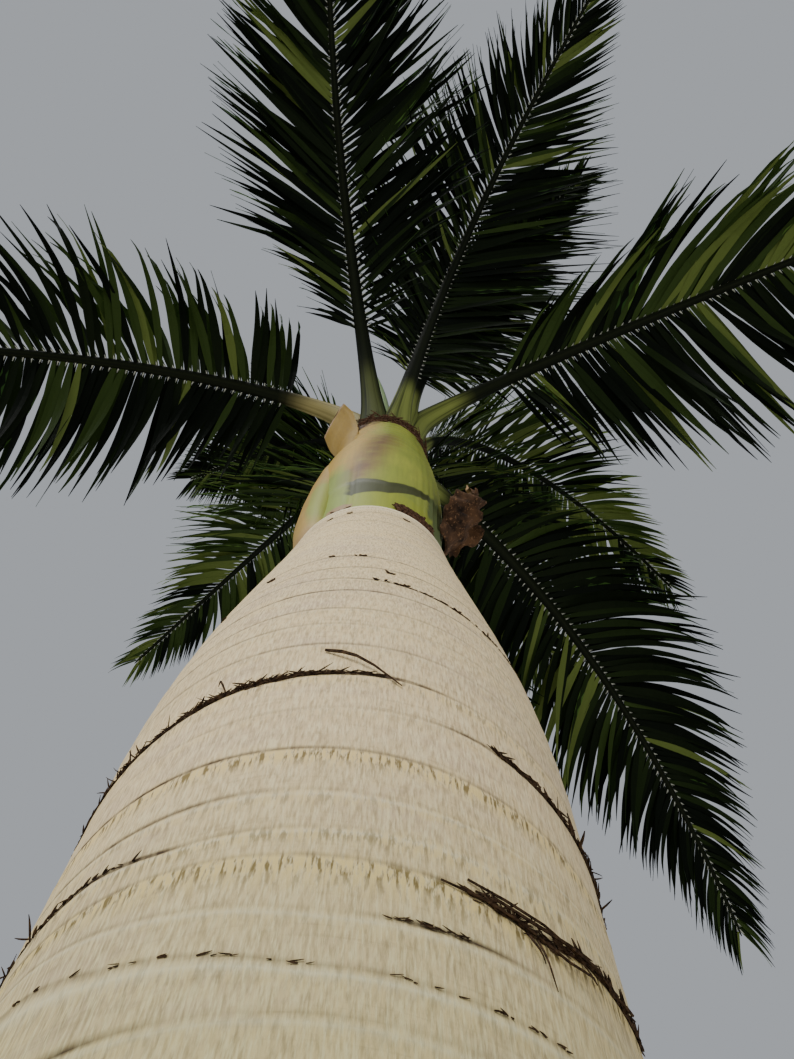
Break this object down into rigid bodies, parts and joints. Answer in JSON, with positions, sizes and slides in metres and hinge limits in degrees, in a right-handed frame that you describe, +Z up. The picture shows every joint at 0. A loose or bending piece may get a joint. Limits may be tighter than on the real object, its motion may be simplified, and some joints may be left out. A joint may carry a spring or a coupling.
{
  "type": "royal palm tree",
  "caption": "Whole royal palm: smooth ringed pale trunk with a flared foot, green and tan crownshaft, and arching feather fronds.",
  "frame": {"origin": "centre of the flat cut under the trunk, at ground level", "axes": "+Z up along the trunk; the picture was taken from the -Y side looking up, with +X to its right"},
  "size_m": [4.5496, 5.0726, 7.354],
  "materials": {
    "bark": "smooth weathered cream bark with ring scars",
    "sheath_green": "smooth waxy green leaf sheath",
    "sheath_tan": "smooth tan ageing leaf sheath",
    "dry_fibre": "dry brown papery fibre",
    "frond": "satin dark green leaflets on a green rib",
    "spear": "satin fresh green folded leaf"
  },
  "bodies": {
    "root": {"trunk": "bark", "crownshaft": "sheath_green", "inner_crownshaft": "sheath_green", "sheath_flap": "sheath_tan", "sheath_lobe": "sheath_tan", "fibre_collar": "dry_fibre", "withered_sheath": "dry_fibre", "spear_leaf": "spear", "frond_front_left_inner": "frond", "frond_front_left_outer": "frond", "frond_front_right_inner": "frond", "frond_front_right_outer": "frond", "frond_rear_right_inner": "frond", "frond_rear_right_outer": "frond", "frond_rear_left_inner": "frond", "frond_rear_left_outer": "frond", "frond_rear_inner": "frond", "frond_rear_outer": "frond", "frond_left_inner": "frond", "frond_left_outer": "frond", "frond_right_inner": "frond", "frond_right_outer": "frond", "frond_upper_right_inner": "frond", "frond_upper_right_outer": "frond", "frond_upper_front_inner": "frond", "frond_upper_front_outer": "frond", "frond_upper_rear_inner": "frond", "frond_upper_rear_outer": "frond", "frond_middle_left_inner": "frond", "frond_middle_left_outer": "frond", "frond_inner_right_inner": "frond", "frond_inner_right_outer": "frond"}
  },
  "joints": []
}
